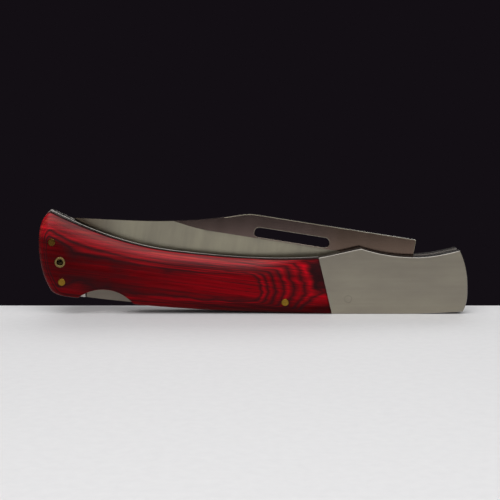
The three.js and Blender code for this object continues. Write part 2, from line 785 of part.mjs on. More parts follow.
const upperPin = pinThroughWood(upperPinX, upperPinZ, pinDiameter);
const lowerPin = pinThroughWood(lowerPinX, lowerPinZ, pinDiameter);
const barPin = pinThroughWood(barPinX, barPinZ, pinDiameter);
const tubeHollow = rod(tubeX, tubeZ, tubeBore, -pinLength, pinLength);
const tube = pinThroughWood(tubeX, tubeZ, tubeDiameter).subtract(tubeHollow);
add(knife, 'butt_pin_upper', geometryOf(upperPin), brass(0.3));
add(knife, 'butt_pin_lower', geometryOf(lowerPin), brass(0.3));
add(knife, 'lock_bar_pin', geometryOf(barPin), brass(0.3));
add(knife, 'lanyard_tube', geometryOf(tube), brass(0.3));
add(knife, 'blade_pivot_pin', geometryOf(pivotRodTo(hiddenEnd, 0)), steel(0x9a948c, 0.35));

const lockBar = plate(barOutline, -bladeThickness / 2, bladeThickness / 2).subtract(barPinHole);
const leaf = plate(leafOutline, -bladeThickness / 2, bladeThickness / 2);
add(knife, 'lock_bar', geometryOf(lockBar), steel(0x8e8a80, 0.4));
add(knife, 'back_spring', geometryOf(leaf), steel(0x6f6d6a, 0.35));

// The blade is folded: it turns back from the open position about its pivot.
const bladeHinge = new THREE.Group();
bladeHinge.position.set(pivotX, 0, pivotHeight);
bladeHinge.rotation.y = radians(-openAngle);
add(bladeHinge, 'blade', bladeGeometry(), steel(0x7b7069, 0.3));
knife.add(bladeHinge);

// The origin lies under the middle of the handle, level with the lowest point of its back.
const box = new THREE.Box3().setFromObject(knife);
knife.position.set(-(box.min.x + box.max.x) / 2, 0, -box.min.z);

export default knife;
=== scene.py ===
"""A large lock-back folding knife, closed and standing on its back on a pale table.

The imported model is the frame. Each section below makes one piece of the knife, or a group of like
pieces, in the order in which a cutler puts them together. Lengths are in metres, but the points of
the handle's outline and the depths in the wood are in mm.
"""

import math

import bpy
import numpy as np
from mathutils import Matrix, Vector
from mathutils.geometry import interpolate_bezier


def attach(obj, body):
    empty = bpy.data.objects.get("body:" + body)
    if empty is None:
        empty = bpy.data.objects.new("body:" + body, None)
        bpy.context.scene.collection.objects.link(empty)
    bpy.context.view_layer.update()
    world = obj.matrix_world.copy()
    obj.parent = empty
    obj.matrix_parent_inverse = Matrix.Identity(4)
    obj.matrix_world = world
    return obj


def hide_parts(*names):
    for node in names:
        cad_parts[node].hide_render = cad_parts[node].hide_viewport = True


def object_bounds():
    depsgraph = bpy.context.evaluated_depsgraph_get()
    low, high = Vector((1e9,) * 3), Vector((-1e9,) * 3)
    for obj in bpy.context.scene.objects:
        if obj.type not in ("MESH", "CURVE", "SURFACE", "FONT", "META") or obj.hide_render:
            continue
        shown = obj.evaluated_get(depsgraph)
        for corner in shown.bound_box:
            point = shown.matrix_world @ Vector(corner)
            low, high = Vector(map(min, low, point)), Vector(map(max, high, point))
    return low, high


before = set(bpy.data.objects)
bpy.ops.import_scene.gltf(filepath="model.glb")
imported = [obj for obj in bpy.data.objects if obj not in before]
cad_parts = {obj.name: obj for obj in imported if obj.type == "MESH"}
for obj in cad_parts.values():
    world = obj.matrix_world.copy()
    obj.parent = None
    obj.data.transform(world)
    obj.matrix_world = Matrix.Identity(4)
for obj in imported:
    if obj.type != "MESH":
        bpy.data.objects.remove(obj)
cad_low, cad_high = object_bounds()
mm = 0.001


# Liners. Two plates of 1.2 mm sheet steel that everything else is pinned to. They are stamped to
# the outline of the handle, ground flat and tumbled, which leaves a fine bright break on each edge.
def select_only(piece):
    bpy.ops.object.select_all(action="DESELECT")
    piece.select_set(True)
    bpy.context.view_layer.objects.active = piece


def worked_copy(node, name):
    """A piece that starts as a CAD node, with its loose triangles joined into whole faces."""
    same_place, same_face = 0.002 * mm, math.radians(0.2)
    piece = bpy.data.objects.new(name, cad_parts[node].data.copy())
    bpy.context.scene.collection.objects.link(piece)
    select_only(piece)
    if piece.data.has_custom_normals:
        bpy.ops.mesh.customdata_custom_splitnormals_clear()
    bpy.ops.object.mode_set(mode="EDIT")
    bpy.ops.mesh.select_all(action="SELECT")
    bpy.ops.mesh.remove_doubles(threshold=same_place)
    bpy.ops.mesh.dissolve_limited(angle_limit=same_face)
    bpy.ops.object.mode_set(mode="OBJECT")
    piece.data.materials.clear()
    return piece


def break_edges(piece, width, segments=2, sharpness=50, chosen=None):
    """Rounds the sharp edges of a piece, or those of them whose middle point is chosen."""
    select_only(piece)
    bpy.ops.object.mode_set(mode="EDIT")
    bpy.ops.mesh.select_mode(type="EDGE")
    bpy.ops.mesh.select_all(action="DESELECT")
    bpy.ops.mesh.edges_select_sharp(sharpness=math.radians(sharpness))
    bpy.ops.object.mode_set(mode="OBJECT")
    points = piece.data.vertices
    for edge in piece.data.edges:
        middle = (points[edge.vertices[0]].co + points[edge.vertices[1]].co) / 2
        if edge.select and chosen and not chosen(middle):
            edge.select = False
    bpy.ops.object.mode_set(mode="EDIT")
    bpy.ops.mesh.bevel(offset=width, segments=segments, affect="EDGES", clamp_overlap=False)
    bpy.ops.object.mode_set(mode="OBJECT")


def polish(piece, angle=32, crisp=None):
    """Shades a piece smooth but for its sharp edges and those that crisp marks, with the large
    faces kept flat."""
    select_only(piece)
    bpy.ops.object.shade_smooth_by_angle(angle=math.radians(angle))
    if crisp:
        crisp(piece)
    even = piece.modifiers.new("even", "WEIGHTED_NORMAL")
    even.keep_sharp = True
    bpy.ops.object.modifier_apply(modifier=even.name)


def add_node(material, kind, output, feeds=(), **settings):
    """Adds a node to a material or the room, feeds its inputs with numbers or sockets, and gives
    one of its outputs."""
    made = material.node_tree.nodes.new(kind)
    for setting, value in settings.items():
        setattr(made, setting, value)
    for socket, value in dict(feeds).items():
        if isinstance(value, bpy.types.NodeSocket):
            material.node_tree.links.new(value, made.inputs[socket])
        else:
            made.inputs[socket].default_value = value
    return made.outputs[output]


def sum_of(material, a, factor, b):
    """a times factor plus b."""
    feeds = {0: a, 1: factor, 2: b}
    return add_node(material, "ShaderNodeMath", 0, feeds, operation="MULTIPLY_ADD")


def times(material, a, b):
    return add_node(material, "ShaderNodeMath", 0, {0: a, 1: b}, operation="MULTIPLY")


def blended(material, share, a, b):
    """Number a, with a share of number b blended in."""
    return add_node(material, "ShaderNodeMix", 0, {0: share, 2: a, 3: b})


def colour_ramp(material, place, stops):
    """A colour that changes with place, a number from 0 to 1, as the stops say."""
    made = material.node_tree.nodes.new("ShaderNodeValToRGB")
    material.node_tree.links.new(place, made.inputs[0])
    ramp = made.color_ramp
    while len(ramp.elements) < len(stops):
        ramp.elements.new(1.0)
    for element, (position, colour) in zip(ramp.elements, stops):
        element.position = position
        element.color = (*colour, 1.0)
    return made.outputs[0]


def mixed(material, share, a, b, blend="MIX"):
    """Colour a, with a share of colour b mixed into it or multiplied by it."""
    a, b = [(*c, 1.0) if isinstance(c, tuple) else c for c in (a, b)]
    return add_node(
        material, "ShaderNodeMix", 2, {0: share, 6: a, 7: b}, data_type="RGBA", blend_type=blend
    )


def limited(material, value, low, high, to_low=0.0, to_high=1.0):
    """A number moved from one range to another, and held inside it."""
    feeds = {"Value": value, "From Min": low, "From Max": high, "To Min": to_low, "To Max": to_high}
    return add_node(material, "ShaderNodeMapRange", 0, feeds)


def tinted(material, colour, light):
    """A colour made brighter or darker by a number."""
    parts = {"Red": light, "Green": light, "Blue": light}
    grey = add_node(material, "ShaderNodeCombineColor", 0, parts)
    return mixed(material, 1.0, colour, grey, blend="MULTIPLY")


def place_on(material, kind):
    """The three parts of a place, in metres along, through and up the knife for the kind Object,
    and in shares of a sheet for the kind UV."""
    place = add_node(material, "ShaderNodeTexCoord", kind)
    parts = material.node_tree.nodes.new("ShaderNodeSeparateXYZ")
    material.node_tree.links.new(place, parts.inputs[0])
    return parts.outputs


def pattern(material, turn, changes, detail, roughness=0.55, distortion=0.0):
    """Noise in the piece's own place, turned about the pins' direction and stretched: the three
    changes are how often it changes in a metre along, through and across the piece."""
    place = add_node(material, "ShaderNodeTexCoord", "Object")
    turned = add_node(
        material,
        "ShaderNodeVectorRotate",
        0,
        {"Vector": place, "Angle": math.radians(turn)},
        rotation_type="Y_AXIS",
    )
    spread = add_node(
        material, "ShaderNodeVectorMath", 0, {0: turned, 1: changes}, operation="MULTIPLY"
    )
    feeds = {"Vector": spread, "Scale": 1.0, "Detail": detail}
    feeds.update({"Roughness": roughness, "Distortion": distortion})
    return add_node(material, "ShaderNodeTexNoise", 0, feeds)


def new_material(name, **constants):
    """A material, and its shader with the values that are the same all over the surface."""
    material = bpy.data.materials.new(name)
    material.use_nodes = True
    material.node_tree.nodes.clear()
    shader = material.node_tree.nodes.new("ShaderNodeBsdfPrincipled")
    output = material.node_tree.nodes.new("ShaderNodeOutputMaterial")
    material.node_tree.links.new(shader.outputs[0], output.inputs[0])
    for socket, value in constants.items():
        shader.inputs[socket.replace("_", " ")].default_value = value
    return material, shader


def ground_steel(name, light, dark, smooth, rough, turn, lines, depth, fade=None, metal=1.0):
    """Steel with the fine parallel lines of a belt or wheel: two tones that drift over the piece, a
    gloss that changes from line to line, and lines that are cut to a depth. A fade, which paints
    light or shade along the piece, is two places along the handle and what the steel's colour is
    multiplied by at the first of them."""
    material, shader = new_material(name, Metallic=metal)
    cloud = pattern(material, turn, tuple(0.02 * n + 40 for n in lines), detail=3.0)
    fine = pattern(material, turn, lines, detail=3.0, roughness=0.7)
    coarse = pattern(material, turn, tuple(0.22 * n for n in lines), detail=2.0)
    tone = sum_of(material, cloud, 1.5, sum_of(material, coarse, 0.5, -0.5))
    colour = mixed(material, tone, dark, light)
    if fade:
        start, end, tint = fade
        share = limited(material, place_on(material, "Object")["X"], start, end)
        shade = mixed(material, share, tint, (1.0, 1.0, 1.0))
        colour = mixed(material, 1.0, colour, shade, blend="MULTIPLY")
    gloss = sum_of(material, fine, 0.6, sum_of(material, cloud, 0.5, -0.05))
    roughness = limited(material, gloss, 0.0, 1.0, smooth, rough)
    height = sum_of(material, coarse, 0.8, fine)
    bump_feeds = {"Height": height, "Strength": 0.6, "Distance": depth}
    bump = add_node(material, "ShaderNodeBump", 0, bump_feeds)
    links = material.node_tree.links
    links.new(colour, shader.inputs["Base Color"])
    links.new(roughness, shader.inputs["Roughness"])
    links.new(bump, shader.inputs["Normal"])
    return material


liner_steel = ground_steel(
    "liner steel",
    light=(0.62, 0.60, 0.56),
    dark=(0.44, 0.42, 0.39),
    smooth=0.26,
    rough=0.44,
    turn=4,
    lines=(60, 2600, 3200),
    depth=0.004 * mm,
)


def shaded_rim_steel(name, fade=None):
    """The smoother, buffed steel of a rim, painted dark: a painted shade on its highlights."""
    return ground_steel(
        name,
        light=(0.38, 0.355, 0.325),
        dark=(0.29, 0.27, 0.25),
        smooth=0.12,
        rough=0.22,
        turn=4,
        lines=(60, 2600, 3200),
        depth=0.002 * mm,
        fade=fade,
        metal=0.90,
    )


def give_the_rim_its_steel(piece, rim_steel):
    """Gives the second material to the faces round the rim, which lean away from the sides."""
    square_enough = 0.97
    piece.data.materials.append(rim_steel)
    for face in piece.data.polygons:
        if abs(face.normal.y) < square_enough:
            face.material_index = 1


butt_x = cad_low.x
horn = (5.1, 43.2)
horn_corner = (butt_x + horn[0] * mm, horn[1] * mm)
horn_round = 1.3 * mm
liner_break = 0.16 * mm
near_inner_face = 1.8 * mm
near_outer_face = 2.8 * mm
# Painted shade: liner rims are painted darker towards the nose, from x = -45 mm to -12 mm.
liner_rim_steel = shaded_rim_steel(
    "liner rim steel", fade=(-12 * mm, -45 * mm, (0.42, 0.40, 0.40))
)
for end, side in (("front", -1), ("rear", 1)):
    liner = worked_copy(f"liner_{end}", f"liner_plate_{end}")
    break_edges(
        liner,
        width=horn_round,
        segments=5,
        chosen=lambda p: math.hypot(p.x - horn_corner[0], p.z - horn_corner[1]) < 0.1 * mm,
    )
    break_edges(
        liner, width=liner_break, segments=4, chosen=lambda p: side * p.y > near_outer_face
    )
    break_edges(
        liner, width=liner_break, segments=3, chosen=lambda p: side * p.y < near_inner_face
    )
    polish(liner)
    liner.data.materials.append(liner_steel)
    give_the_rim_its_steel(liner, liner_rim_steel)
    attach(liner, "handle")
    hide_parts(f"liner_{end}")


# Bolsters. Two thick blocks of stainless steel, riveted to the nose of the liners and then shaped
# with them: rounded along the free edges, satin on the sides, dead flush with the wood.
bolster_steel = ground_steel(
    "bolster steel",
    light=(0.405, 0.370, 0.290),
    dark=(0.305, 0.273, 0.226),
    smooth=0.36,
    rough=0.50,
    turn=0,
    lines=(90, 2400, 4200),
    depth=0.003 * mm,
)
# Painted shade: the rims get the dark rim steel, which dims the highlight on the rounded edges.
bolster_rim_steel = shaded_rim_steel("bolster rim steel")
for end in ("front", "rear"):
    bolster = worked_copy(f"bolster_{end}", f"bolster_block_{end}")
    polish(bolster, angle=34)
    bolster.data.materials.append(bolster_steel)
    give_the_rim_its_steel(bolster, bolster_rim_steel)
    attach(bolster, "handle")
    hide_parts(f"bolster_{end}")


# Bolster rivets and pivot pin. Round rod of the bolsters' own steel, spread into countersinks and
# ground off with them. Of the rivets only the lower ones come through, as a faint ring, and the
# pivot pin ends under the bolsters' faces.
rivets = [
    f"bolster_rivet_{end}_{place}" for end in ("front", "rear") for place in ("lower", "upper")
]
for name in [*rivets, "blade_pivot_pin"]:
    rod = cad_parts[name]
    rod.data.materials.clear()
    rod.data.materials.append(bolster_steel)


# Scales. Dyed red veneers and dark glue, pressed into one board, sawn, pinned to the liners and
# crowned on a belt. The belt cuts through the veneers, so that the glue draws contour lines where
# the surface falls away. A clear finish is buffed to a soft gloss.
# The dye carries painted highlight along the top and at the butt, painted shade by the liner.
liner_face = 2.9 * mm
bolster_thickness = 4.3 * mm
bolster_round = 0.35 * mm
crown_thickness = 5.4 * mm
rim_thickness = 1.3 * mm
crown_run = 34 * mm
top_roll = 8.0 * mm
horn_roll = 11.6 * mm
horn_roll_end = 0.5
butt_roll = 5.4 * mm
back_roll = 5.9 * mm
liner_show = 0.3 * mm
board_columns = 170
board_rows = 64


def stretch(start, end, leaving, arriving, count=24):
    """Points of a smooth curve between two places in mm, with its directions there in degrees."""
    pull = 0.35
    start, end = Vector(start), Vector(end)
    reach = pull * (end - start).length
    out = Vector((math.cos(math.radians(leaving)), math.sin(math.radians(leaving)))) * reach
    back = Vector((math.cos(math.radians(arriving)), math.sin(math.radians(arriving)))) * reach
    points = interpolate_bezier(*[v.to_3d() for v in (start, start + out, end - back, end)], count)
    return np.array([(p.x, p.y) for p in points]) * mm


def along(line, share):
    """Points of a line at shares of its length."""
    gone = np.concatenate([[0], np.cumsum(np.hypot(*np.diff(line, axis=0).T))])
    return np.stack([np.interp(share * gone[-1], gone, line[:, k]) for k in (0, 1)], axis=-1)


seam_head, seam_foot, heel = (116.1, 23.55), (121.754, 0), (9.2, 7.5)
waist, butt_corner, butt_middle = (58, 26), (4.2, 10.6), (0, 29)
top_line = np.concatenate(
    [stretch(horn, waist, -27, -6.3), stretch(waist, seam_head, -6.3, 3.6)[1:]]
)
back_line = stretch(heel, (126, 0), -8, 0, count=80)
back_line = back_line[back_line[:, 0] < seam_foot[0] * mm]
back_line = np.concatenate([back_line, [np.array(seam_foot) * mm]])
butt_line = np.concatenate(
    [
        stretch(heel, butt_corner, 172, 118),
        stretch(butt_corner, butt_middle, 118, 90)[1:],
        stretch(butt_middle, horn, 90, 36)[1:],
    ]
)


def patch(s, t):
    """The place on the scale's side at shares s from butt to seam and t from back to top."""
    corners = [np.array(c) * mm for c in (heel, horn, seam_foot, seam_head)]
    s1, t1 = s[..., None], t[..., None]
    across = (1 - t1) * along(back_line, s) + t1 * along(top_line, s)
    ends = (1 - s1) * along(butt_line, t) + s1 * (corners[2] + t1 * (corners[3] - corners[2]))
    low = corners[0] + s1 * (corners[2] - corners[0])
    high = corners[1] + s1 * (corners[3] - corners[1])
    return across + ends - (low + t1 * (high - low))


def rolled(distance, roll):
    """The share of full height that a quarter-round reaches at a distance from its edge."""
    left = 1 - np.clip(distance / roll, 0, 1)
    return np.sqrt(1 - left**2)


def crown(s, t):
    """How far the scale's outer face stands off the liner."""
    here = patch(s, t)
    to_top, to_back, to_butt, to_seam = [
        np.linalg.norm(here - patch(*edge), axis=-1)
        for edge in ((s, t * 0 + 1), (s, t * 0), (s * 0, t), (s * 0 + 1, t))
    ]
    rise = 0.5 - 0.5 * np.cos(np.pi * np.clip(to_seam / crown_run, 0, 1))
    full = bolster_thickness + (crown_thickness - bolster_thickness) * rise
    rim = bolster_thickness - bolster_round
    rim = rim + (rim_thickness - rim) * rise
    near_horn = 0.5 + 0.5 * np.cos(np.pi * np.clip(s / horn_roll_end, 0, 1))
    wide = top_roll + (horn_roll - top_roll) * near_horn
    round_top = bolster_round + (wide - bolster_round) * rise
    round_back = bolster_round + (back_roll - bolster_round) * rise
    share = rolled(to_top, round_top) * rolled(to_back, round_back) * rolled(to_butt, butt_roll)
    return rim + (full - rim) * share


def crowned_board(name, side):
    """A flat grid bent over the patch, given its thickness, on one side of the handle. Its rows
    and columns gather towards the rim, where the crown falls away."""
    bpy.ops.object.select_all(action="DESELECT")
    bpy.ops.mesh.primitive_grid_add(
        x_subdivisions=board_columns, y_subdivisions=board_rows, size=1, calc_uvs=True
    )
    board = bpy.context.active_object
    board.name = name
    flat = np.array([v.co for v in board.data.vertices])[:, :2] + 0.5
    eased = 0.5 - 0.5 * np.cos(np.pi * flat)
    gathered = 0.6
    s = (1 - gathered) * flat[:, 0] + gathered * eased[:, 0]
    first = liner_show / (seam_head[0] * mm)
    show = liner_show / (seam_head[1] * mm)
    s = first + (1 - first) * s
    t = show + (1 - 2 * show) * eased[:, 1]
    place = patch(s, t)
    places = np.stack(
        [place[:, 0] + butt_x, side * (liner_face + crown(s, t)), place[:, 1]], axis=1
    )
    board.data.vertices.foreach_set("co", places.ravel())
    bpy.ops.object.mode_set(mode="EDIT")
    bpy.ops.mesh.select_all(action="SELECT")
    bpy.ops.mesh.extrude_region_move()
    bpy.ops.transform.resize(
        value=(1, 0, 1), center_override=(0, side * liner_face, 0), orient_type="GLOBAL"
    )
    bpy.ops.mesh.dissolve_limited(angle_limit=math.radians(0.01))
    bpy.ops.mesh.select_all(action="SELECT")
    bpy.ops.mesh.normals_make_consistent(inside=False)
    bpy.ops.object.mode_set(mode="OBJECT")
    return board


def drill(piece, bores):
    """Cuts round bores across a piece: each is x, z, diameter and number of sides."""
    bit_length = 30 * mm
    bpy.ops.object.select_all(action="DESELECT")
    bits = []
    for x, z, diameter, sides in bores:
        bpy.ops.mesh.primitive_cylinder_add(
            vertices=sides,
            radius=diameter / 2,
            depth=bit_length,
            location=(x, 0, z),
            rotation=(math.radians(90), 0, 0),
        )
        bits.append(bpy.context.active_object)
    for bit in bits:
        bit.select_set(True)
    bpy.ops.object.join()
    bit = bpy.context.active_object
    cut = piece.modifiers.new("bores", "BOOLEAN")
    cut.object = bit
    cut.operation = "DIFFERENCE"
    cut.solver = "EXACT"
    select_only(piece)
    bpy.ops.object.modifier_apply(modifier=cut.name)
    bpy.data.objects.remove(bit)


black = (0.016, 0.0045, 0.0055)
shallow, deepest = -0.05, 4.3
glue_lines = [
    (0.117, 0.042, 1.0),
    (0.224, 0.058, 1.0),
    (0.357, 0.072, 1.0),
    (0.530, 0.098, 1.0),
    (0.735, 0.104, 1.0),
    (0.915, 0.074, 1.0),
    (1.085, 0.094, 1.0),
    (1.500, 0.130, 0.5),
    (2.250, 0.200, 0.35),
    (3.150, 0.220, 0.35),
]
butt_lines = [
    (0.095, 0.088, 1.0),
    (0.370, 0.130, 1.0),
    (1.100, 0.180, 0.25),
    (2.250, 0.220, 0.30),
]


def on_ramp(depth):
    """Where a depth in mm lies on the ramps, which have more room for the shallow veneers."""
    return math.sqrt((depth - shallow) / (deepest - shallow))


def glue_ramp(material, share, lines):
    """The ink of glue lines, each of them a depth in mm, half a width in mm and a strength."""
    stops = []
    for middle, width, ink in lines:
        stops += [(middle - width, 0.0), (middle, ink), (middle + width, 0.0)]
    return colour_ramp(material, share, [(on_ramp(depth), (v, v, v)) for depth, v in stops])


def veneer_ramp(material, share):
    """The dye of the veneers from the crown inwards."""
    glowing, red, deep = (0.64, 0.0022, 0.0120), (0.44, 0.0016, 0.0080), (0.200, 0.0014, 0.0050)
    orange = (0.50, 0.018, 0.014)
    veneers = [
        (-0.05, red),
        (0.09, red),
        (0.16, glowing),
        (0.30, red),
        (0.44, red),
        (0.60, glowing),
        (0.66, red),
        (0.84, red),
        (1.01, glowing),
        (1.25, glowing),
        (1.42, red),
        (1.62, orange),
        (2.05, orange),
        (2.35, red),
        (2.95, glowing),
        (3.30, deep),
        (4.25, deep),
    ]
    return colour_ramp(material, share, [(on_ramp(depth), dye) for depth, dye in veneers])


def veneer_depth(material, fibres, streaks, drift):
    """How deep under the crown a place lies, in mm. The veneers are wavy, cupped across the board
    and lean near the seam, and the ones at the butt lie a little higher."""
    crown_face = (liner_face + crown_thickness) / mm
    fibre_wave, streak_wave, middle_of_waves = 0.045, 0.06, 0.052
    lean_per_mm, level_z = 0.012, 12
    x, y, z = place_on(material, "Object")
    v = place_on(material, "UV")["Y"]
    near_seam = limited(material, x, -10 * mm, 20 * mm)
    at_seam = limited(material, x, 18 * mm, 30 * mm)
    outward = add_node(material, "ShaderNodeMath", 0, {0: y}, operation="ABSOLUTE")
    depth = sum_of(material, outward, -1 / mm, crown_face - middle_of_waves)
    depth = sum_of(material, fibres, fibre_wave, depth)
    depth = sum_of(material, streaks, streak_wave, depth)
    wander = sum_of(material, at_seam, 0.45, sum_of(material, near_seam, 0.04, 0.22))
    depth = sum_of(material, sum_of(material, drift, 1.0, -0.5), wander, depth)
    turned = times(material, v, math.pi)
    across = add_node(material, "ShaderNodeMath", 0, {0: turned}, operation="COSINE")
    cupped = limited(material, x, -10 * mm, 12 * mm, 0.46, 0.22)
    depth = sum_of(material, times(material, across, across), cupped, depth)
    depth = sum_of(material, limited(material, x, -86 * mm, -74 * mm, -0.13, 0.0), 1.0, depth)
    lean = sum_of(material, z, -lean_per_mm / mm, level_z * lean_per_mm)
    return sum_of(material, lean, near_seam, depth)


def dye_tone_and_painted_light(material, fibres, streaks, cloud, dark_strip_by_liner, seam_distance):
    """How bright the dye is. It darkens towards the butt on the face, and towards the nose on the
    back. Along the top and at the butt it is painted brighter, a painted highlight; in a strip
    beside the liner it is painted darker, a painted shade; and it is darker just beside the seam."""
    x = place_on(material, "Object")["X"]
    u, v, _ = place_on(material, "UV")
    toward_nose = limited(material, x, -85 * mm, 20 * mm)
    face = sum_of(material, toward_nose, 0.47, 0.10)
    back = sum_of(material, toward_nose, -0.36, 0.43)
    back = times(material, back, limited(material, x, -70 * mm, -56 * mm, 0.58, 1.0))
    # Painted highlight: the top band is painted brighter, more so towards the nose.
    top = limited(material, x, -52 * mm, -22 * mm, 0.45, 0.80)
    off_back = limited(material, v, 0.22, 0.40)
    on_top = limited(material, v, 0.62, 0.73)
    tone = blended(material, on_top, blended(material, off_back, back, face), top)
    varied = sum_of(material, cloud, 0.9, sum_of(material, streaks, 2.0, -0.45))
    fibred = limited(material, fibres, 0.3, 0.7, 0.70, 1.26)
    # Painted shade: the dye is painted darker in a strip along the top edge, beside the liner.
    painted_shade_by_liner = times(material, limited(material, v, 0.86, 0.93, 1.0, 0.60), dark_strip_by_liner)
    # Painted highlight: the dye is painted brighter near the butt, above the back.
    painted_butt_highlight = limited(material, u, 0.03, 0.13, 0.8, 0.0)
    at_butt = sum_of(material, painted_butt_highlight, limited(material, v, 0.20, 0.45), 1.0)
    # The dye is darker just beside the seam.
    beside_seam = limited(material, seam_distance, -0.9 * mm, -0.2 * mm, 1.0, 0.45)
    light = times(material, tone, varied)
    for change in (fibred, painted_shade_by_liner, at_butt, beside_seam):
        light = times(material, light, change)
    return light


def seam_stain(material, fibres, drift, seam_distance):
    """A dark stain that has crept into the wood from the upper half of the seam."""
    z = place_on(material, "Object")["Z"]
    crept = sum_of(material, drift, 9 * mm, sum_of(material, fibres, 5 * mm, seam_distance))
    close = limited(material, crept, 0.5 * mm, 3.0 * mm)
    above_foot = limited(material, z, 8.5 * mm, 11.0 * mm)
    fading_up = limited(material, z, 20.0 * mm, 22.0 * mm, 0.92, 0.45)
    return times(material, times(material, close, above_foot), fading_up)


def dark_veins(material, grain):
    """Long thin streaks in the grain, faint at the butt and in the rings by the seam."""
    x = place_on(material, "Object")["X"]
    veins = pattern(material, grain, (13, 200, 1050), detail=2.0, roughness=0.5)
    vein = limited(material, veins, 0.49, 0.60)
    from_butt = limited(material, x, -60 * mm, -20 * mm, 0.28, 0.60)
    to_rings = limited(material, x, 0, 12 * mm, 1.0, 0.5)
    return times(material, vein, times(material, from_butt, to_rings))


def laminate():
    """Wood whose colour follows the depth under the crown, with fibres along the board."""
    grain = -7
    material, shader = new_material("laminated wood", Specular_IOR_Level=0.2)
    streaks = pattern(material, grain, (20, 130, 760), detail=4.0, roughness=0.62, distortion=0.2)
    fibres = pattern(material, grain, (95, 700, 3300), detail=3.0, roughness=0.65)
    drift = pattern(material, 0, (60, 60, 150), detail=2.0)
    cloud = pattern(material, grain, (16, 30, 62), detail=2.0)
    pores = pattern(material, grain, (170, 2400, 3400), detail=1.0)
    x, _, z = place_on(material, "Object")
    v = place_on(material, "UV")["Y"]

    depth = veneer_depth(material, fibres, streaks, drift)
    share = limited(material, depth, shallow, deepest)
    share = add_node(material, "ShaderNodeMath", 0, {0: share, 1: 0.5}, operation="POWER")
    past_butt = limited(material, x, -60 * mm, -22 * mm)
    at_butt, forward = [glue_ramp(material, share, lines) for lines in (butt_lines, glue_lines)]
    glue = blended(material, past_butt, at_butt, forward)
    glue = times(material, glue, limited(material, fibres, 0.35, 0.60, 1.0, 0.84))

    seam_slope = (seam_head[0] - seam_foot[0]) / seam_head[1]
    seam_start = butt_x + seam_foot[0] * mm
    seam_distance = sum_of(material, z, -seam_slope, sum_of(material, x, 1.0, -seam_start))
    # Painted shade: the strip beside the liner is painted darker, and its sheen is cut.
    dark_strip_by_liner = limited(material, v, 0.915, 0.945, 1.0, 0.12)
    light = dye_tone_and_painted_light(material, fibres, streaks, cloud, dark_strip_by_liner, seam_distance)
    stain = seam_stain(material, fibres, drift, seam_distance)
    pore = limited(material, pores, 0.64, 0.74)
    colour = tinted(material, veneer_ramp(material, share), light)
    for dark in (glue, stain, dark_veins(material, grain), times(material, pore, 0.55)):
        colour = mixed(material, dark, colour, black)

    gloss = limited(material, streaks, 0.3, 0.7, 0.34, 0.46)
    buffed = times(material, limited(material, v, 0.61, 0.77), dark_strip_by_liner)
    toward_seam = limited(material, x, 2 * mm, 20 * mm, 0.22, 0.02)
    sheen = sum_of(material, buffed, toward_seam, 0.04)
    height = sum_of(material, fibres, 0.5, times(material, pore, -0.6))
    bump_feeds = {"Height": height, "Strength": 0.5, "Distance": 0.01 * mm}
    bump = add_node(material, "ShaderNodeBump", 0, bump_feeds)
    links = material.node_tree.links
    links.new(colour, shader.inputs["Base Color"])
    links.new(gloss, shader.inputs["Roughness"])
    links.new(sheen, shader.inputs["Specular IOR Level"])
    links.new(bump, shader.inputs["Normal"])
    return material


wood = laminate()
pin_bore = 3.12 * mm
tube_bore = 4.52 * mm
notch_x, notch_z, notch_width = butt_x + 26.7 * mm, -6.0 * mm, 32.8 * mm
notch_break = 0.22 * mm
pin_sides, notch_sides = 48, 160
scale_bores = [
    (butt_x + 6.0 * mm, 30.1 * mm, pin_bore, pin_sides),
    (butt_x + 9.85 * mm, 13.5 * mm, pin_bore, pin_sides),
    (butt_x + 102.3 * mm, 4.95 * mm, pin_bore, pin_sides),
    (butt_x + 9.25 * mm, 21.8 * mm, tube_bore, pin_sides),
    (notch_x, notch_z, notch_width, notch_sides),
]


def on_notch(place):
    """Whether a place is on the rim of the thumb notch, but not down at the liner."""
    from_rim = math.hypot(place.x - notch_x, place.z - notch_z) - notch_width / 2
    return abs(from_rim) < 0.02 * mm and abs(place.y) > liner_face + 0.5 * mm


for end, side in (("front", -1), ("rear", 1)):
    scale = crowned_board(f"wood_scale_{end}", side)
    drill(scale, scale_bores)
    break_edges(scale, width=notch_break, sharpness=40, chosen=on_notch)
    polish(scale, angle=40)
    scale.data.materials.append(wood)
    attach(scale, "handle")
    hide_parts(f"scale_{end}")


# Butt spacer. A block of the same steel as the liners, pinned between them at the butt and ground
# flush with them all round. A slot sawn in its inner side holds the leaf spring.
spacer_steel = ground_steel(
    "spacer steel",
    light=(0.50, 0.48, 0.45),
    dark=(0.38, 0.36, 0.34),
    smooth=0.16,
    rough=0.24,
    turn=4,
    lines=(60, 900, 1200),
    depth=0.0004 * mm,
)
spacer = worked_copy("butt_spacer", "butt_spacer_block")
break_edges(spacer, width=0.12 * mm)
polish(spacer)
spacer.data.materials.append(spacer_steel)
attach(spacer, "handle")
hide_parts("butt_spacer")


# Brass pins and lanyard tube. Rod and tube pushed through wood and steel, spread a little at the
# ends and sanded off with the wood. The upper pin is darker than the other two.
def brass_finish(name, dark, light):
    """Brass in two tones, with the scratches of the sandpaper."""
    material, shader = new_material(name, Metallic=1.0)
    cloud = pattern(material, 0, (420, 420, 420), detail=2.0)
    lines = pattern(material, 12, (700, 700, 5200), detail=2.0, roughness=0.6)
    colour = mixed(material, cloud, dark, light)
    roughness = limited(material, lines, 0.3, 0.7, 0.24, 0.40)
    bump_feeds = {"Height": lines, "Strength": 0.6, "Distance": 0.004 * mm}
    bump = add_node(material, "ShaderNodeBump", 0, bump_feeds)
    links = material.node_tree.links
    links.new(colour, shader.inputs["Base Color"])
    links.new(roughness, shader.inputs["Roughness"])
    links.new(bump, shader.inputs["Normal"])
    return material


